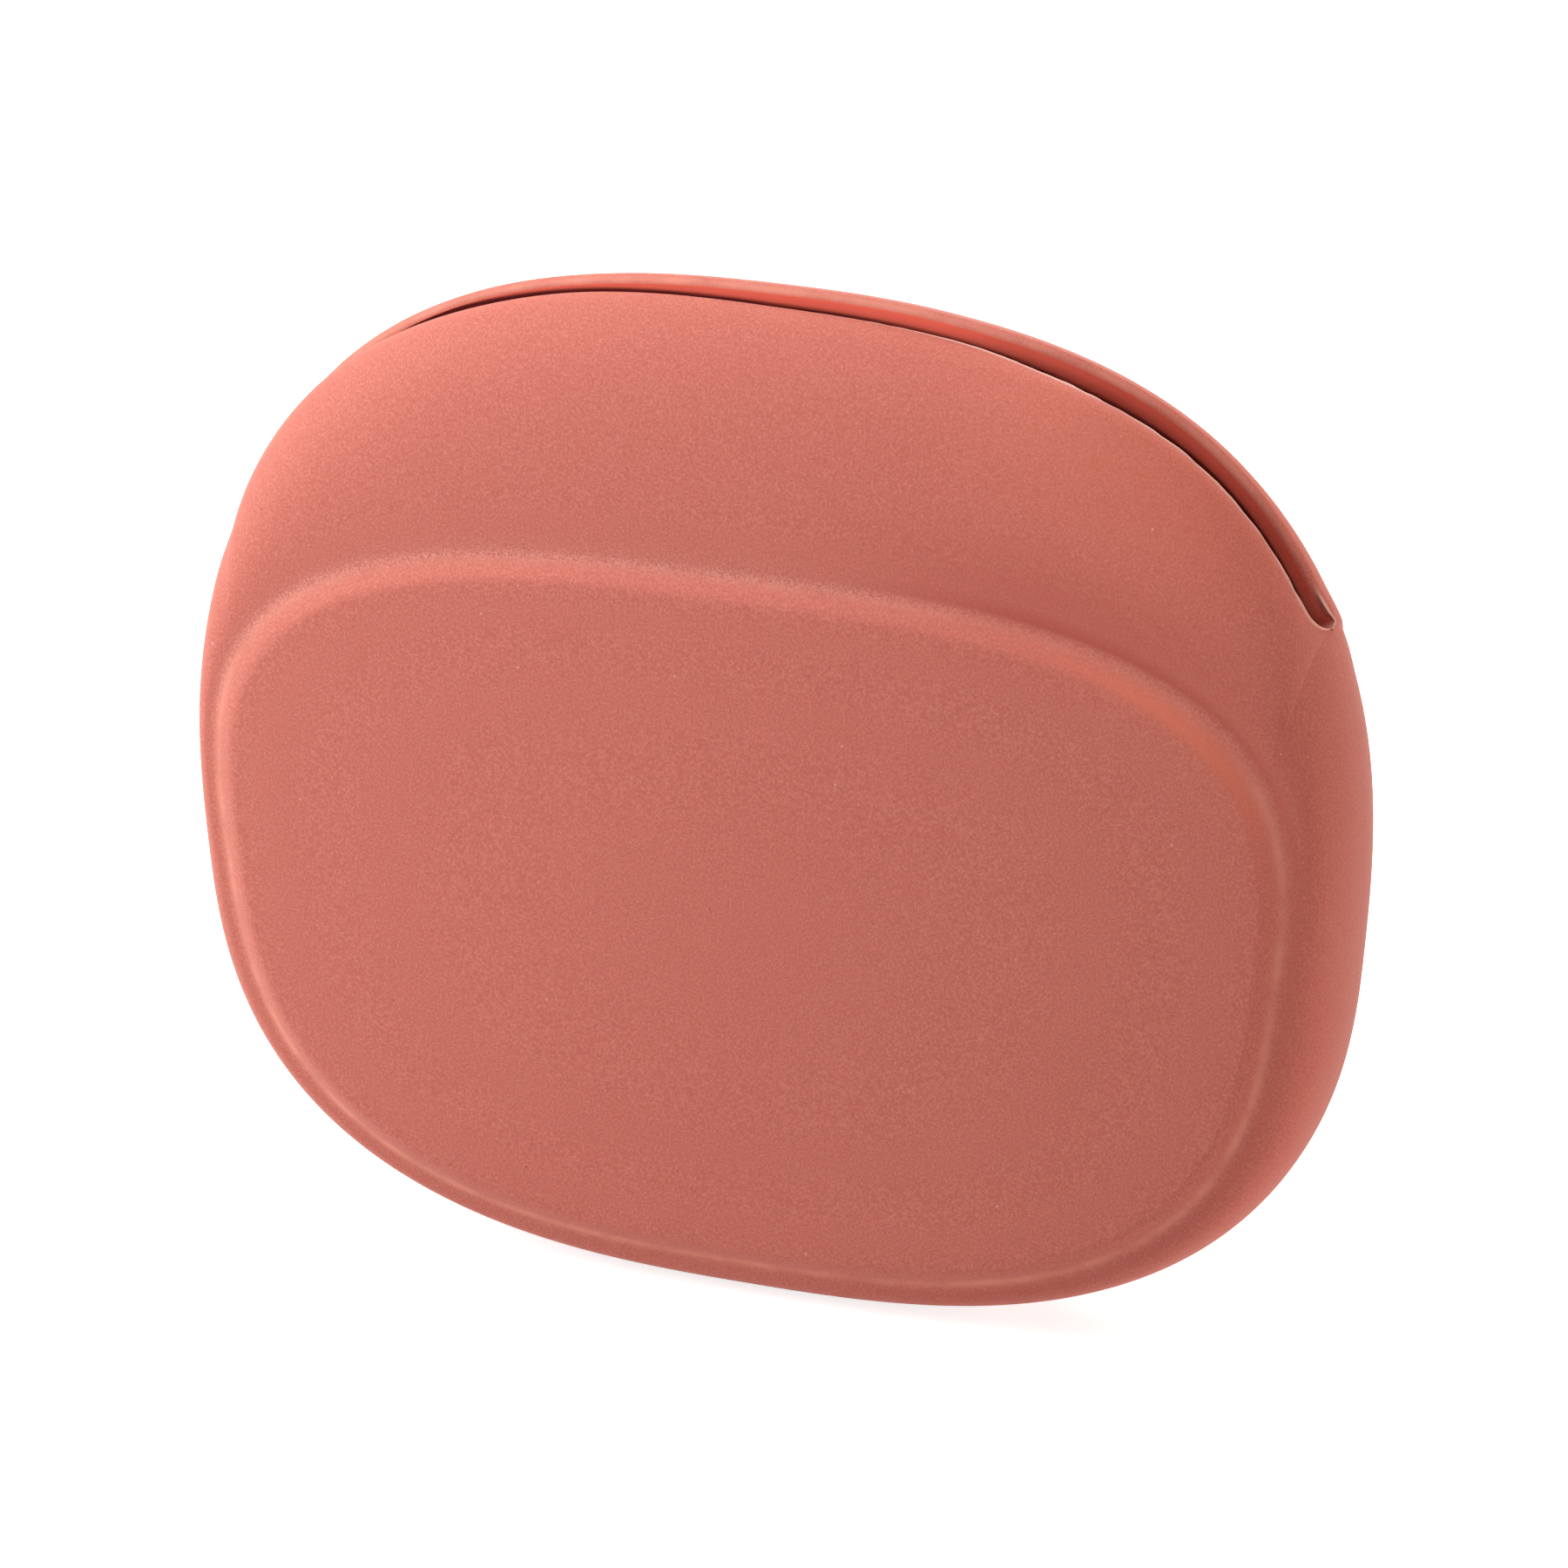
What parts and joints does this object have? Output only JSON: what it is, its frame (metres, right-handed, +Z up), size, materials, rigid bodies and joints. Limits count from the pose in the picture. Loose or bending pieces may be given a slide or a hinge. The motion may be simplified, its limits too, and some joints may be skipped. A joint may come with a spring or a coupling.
{
  "type": "earphone pouch",
  "caption": "Soft pebble-shaped silicone pouch with a raised flat panel on each side and a magnet-held slit mouth along its top that opens when its ends are pressed.",
  "frame": {"origin": "middle of the lowest point of the standing pouch, on the surface it stands on", "axes": "+Z up towards the mouth, +X to the right across the width, -Y out of the front panel"},
  "size_m": [0.0926, 0.018, 0.0806],
  "materials": {
    "silicone": "matte, finely textured moulded silicone, coral",
    "magnet_plating": "nickel plating, satin"
  },
  "bodies": {
    "pouch": {"front_shell": "silicone", "back_shell": "silicone"},
    "front_flap": {"front_lip": "silicone", "front_magnet_left": "magnet_plating", "front_magnet_right": "magnet_plating", "front_plug_left": "silicone", "front_plug_right": "silicone"},
    "back_flap": {"back_lip": "silicone", "back_magnet_left": "magnet_plating", "back_magnet_right": "magnet_plating", "back_plug_left": "silicone", "back_plug_right": "silicone"}
  },
  "joints": [
    {"name": "front_lip_flex", "type": "hinge", "parent": "pouch", "child": "front_flap", "pos_m": [0, -0.0075, 0.0612], "axis": [1, 0, 0], "range_deg": [0, 30], "stiffness_Nm_per_rad": 0.05, "springref_deg": -5.73},
    {"name": "back_lip_flex", "type": "hinge", "parent": "pouch", "child": "back_flap", "pos_m": [0, 0.0075, 0.0612], "axis": [-1, 0, 0], "range_deg": [0, 30], "stiffness_Nm_per_rad": 0.05, "springref_deg": -5.73}
  ],
  "couplings": [
    {"joint": "back_lip_flex", "follows": "front_lip_flex", "ratio": 1}
  ]
}
